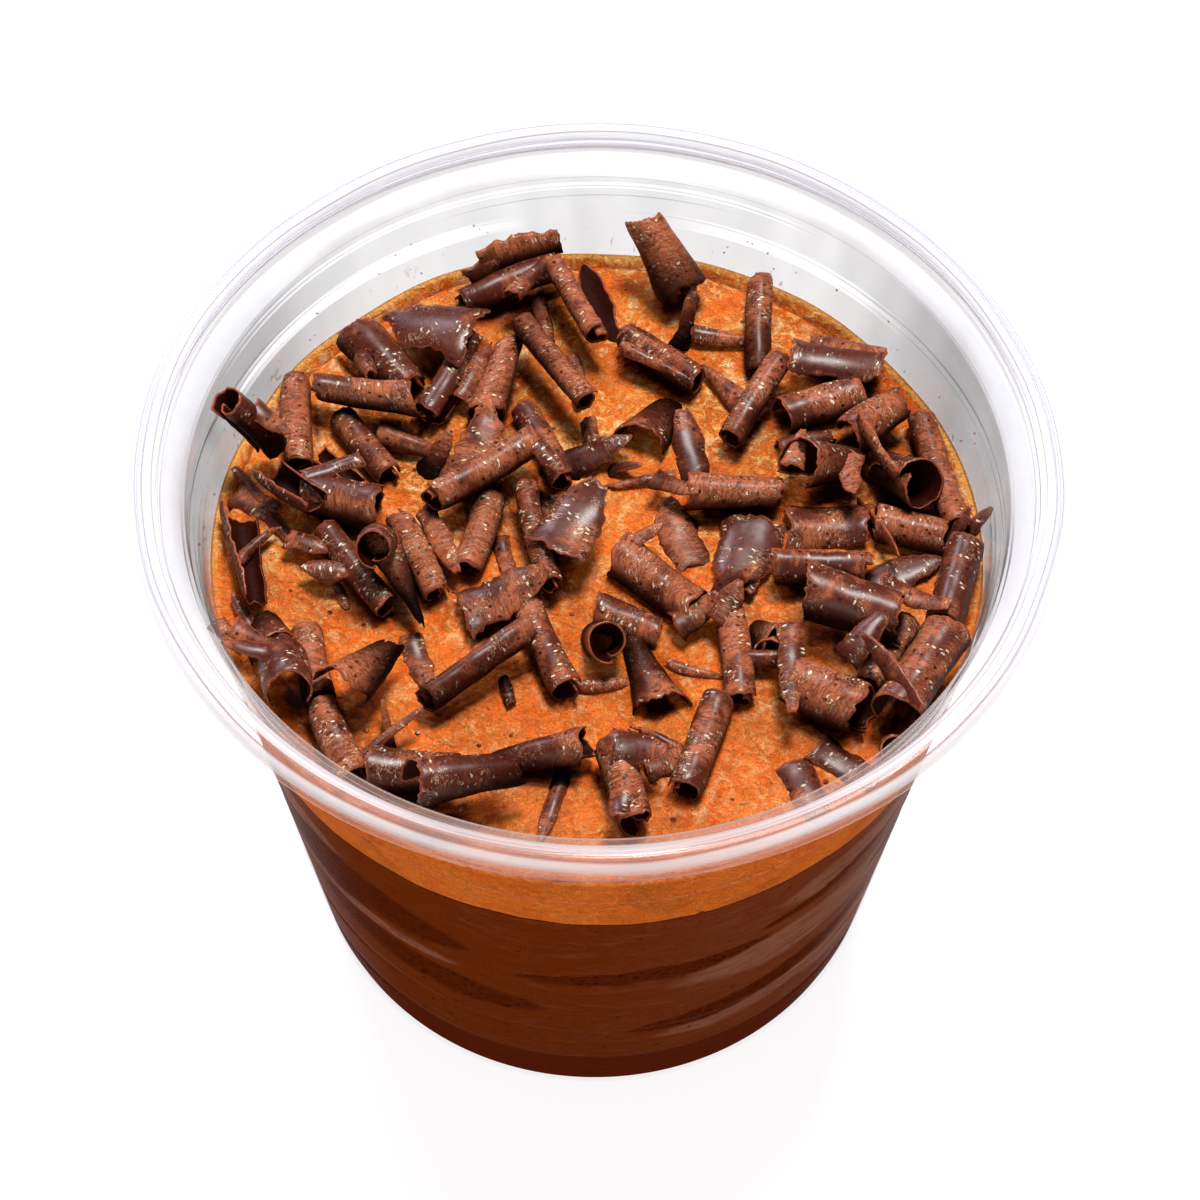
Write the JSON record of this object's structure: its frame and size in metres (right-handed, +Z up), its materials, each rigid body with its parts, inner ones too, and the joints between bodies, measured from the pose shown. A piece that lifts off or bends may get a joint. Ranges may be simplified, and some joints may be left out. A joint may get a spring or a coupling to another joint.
{
  "type": "chocolate mousse in a clear dessert cup",
  "caption": "Round clear plastic dessert cup with a rolled rim, filled with a dark and a light layer of chocolate mousse and strewn with dark chocolate curls.",
  "frame": {"origin": "on the table, under the middle of the cup", "axes": "+Z up through the cup's axis; -Y is the front, +X the right side seen from the front"},
  "size_m": [0.092, 0.092, 0.0705],
  "materials": {
    "clear_plastic": "clear, glossy, thin formed plastic",
    "dark_mousse": "dense dark chocolate mousse, smooth where it presses on the wall",
    "light_mousse": "airy light chocolate mousse, finely pitted, soft sheen",
    "dark_chocolate": "dark chocolate shaving, satin, scratched and flecked"
  },
  "bodies": {
    "root": {"cup": "clear_plastic", "mousse_dark_layer": "dark_mousse", "mousse_light_layer": "light_mousse", "quill_01": "dark_chocolate", "quill_02": "dark_chocolate", "quill_03": "dark_chocolate", "quill_04": "dark_chocolate", "quill_05": "dark_chocolate", "quill_06": "dark_chocolate", "quill_07": "dark_chocolate", "quill_08": "dark_chocolate", "quill_09": "dark_chocolate", "quill_10": "dark_chocolate", "quill_11": "dark_chocolate", "quill_12": "dark_chocolate", "quill_13": "dark_chocolate", "quill_14": "dark_chocolate", "quill_15": "dark_chocolate", "quill_16": "dark_chocolate", "quill_17": "dark_chocolate", "quill_18": "dark_chocolate", "quill_19": "dark_chocolate", "quill_20": "dark_chocolate", "quill_21": "dark_chocolate", "quill_22": "dark_chocolate", "quill_23": "dark_chocolate", "quill_24": "dark_chocolate", "quill_25": "dark_chocolate", "quill_26": "dark_chocolate", "quill_27": "dark_chocolate", "quill_28": "dark_chocolate", "cone_01": "dark_chocolate", "cone_02": "dark_chocolate", "cone_03": "dark_chocolate", "cone_04": "dark_chocolate", "cone_05": "dark_chocolate", "cone_06": "dark_chocolate", "cone_07": "dark_chocolate", "cone_08": "dark_chocolate", "cone_09": "dark_chocolate", "cone_10": "dark_chocolate", "cone_11": "dark_chocolate", "cone_12": "dark_chocolate", "cone_13": "dark_chocolate", "cone_14": "dark_chocolate", "cone_15": "dark_chocolate", "cone_16": "dark_chocolate", "cone_17": "dark_chocolate", "cone_18": "dark_chocolate", "cone_19": "dark_chocolate", "cone_20": "dark_chocolate", "cone_21": "dark_chocolate", "shard_01": "dark_chocolate", "shard_02": "dark_chocolate", "shard_03": "dark_chocolate", "shard_04": "dark_chocolate", "shard_05": "dark_chocolate", "shard_06": "dark_chocolate", "shard_07": "dark_chocolate", "shard_08": "dark_chocolate"}
  },
  "joints": []
}
